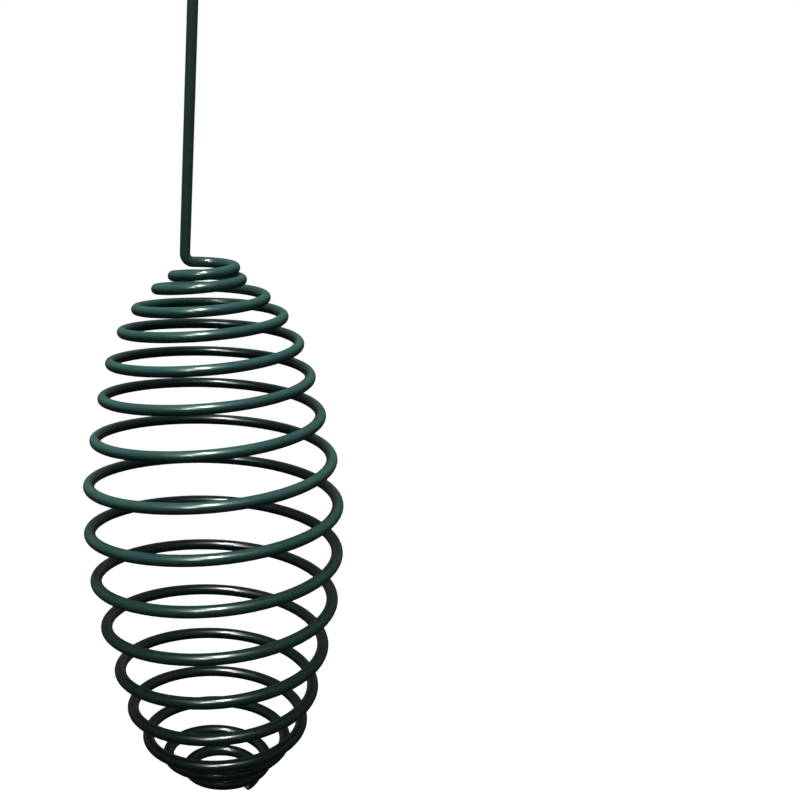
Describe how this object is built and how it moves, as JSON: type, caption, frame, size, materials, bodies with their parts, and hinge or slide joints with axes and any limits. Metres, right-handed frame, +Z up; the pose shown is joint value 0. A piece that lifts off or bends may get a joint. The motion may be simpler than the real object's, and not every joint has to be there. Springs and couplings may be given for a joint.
{
  "type": "suet feeder",
  "caption": "Hanging suet-ball feeder: green plastic-coated spring wire bent into a hook, a straight stem and an open barrel-shaped coil that pulls apart in the middle for loading.",
  "frame": {"origin": "the hanging point, on the inside of the hook's top, above the middle of the barrel coil", "axes": "+Z up along the barrel's axis; the hook lies in the XZ plane with its mouth towards -X"},
  "size_m": [0.0873, 0.0873, 0.308],
  "materials": {
    "green_coat": "smooth dark green plastic dip coat with soft white highlights",
    "steel_wire": "drawn spring steel, bare only on the cut ends"
  },
  "bodies": {
    "upper_half": {"hook_and_stem_coat": "green_coat", "hook_and_stem_core": "steel_wire", "upper_coil_coat": "green_coat", "upper_coil_core": "steel_wire", "loading_turns_coat": "green_coat", "loading_turns_core": "steel_wire"},
    "lower_half": {"lower_coil_coat": "green_coat", "lower_coil_core": "steel_wire"}
  },
  "joints": [
    {"name": "coil_stretch", "type": "slide", "parent": "upper_half", "child": "lower_half", "axis": [0, 0, -1], "range_m": [-0.012, 0.065], "stiffness_N_per_m": 320, "springref_m": -0.0012, "deforming": ["loading_turns_coat", "loading_turns_core"]}
  ]
}
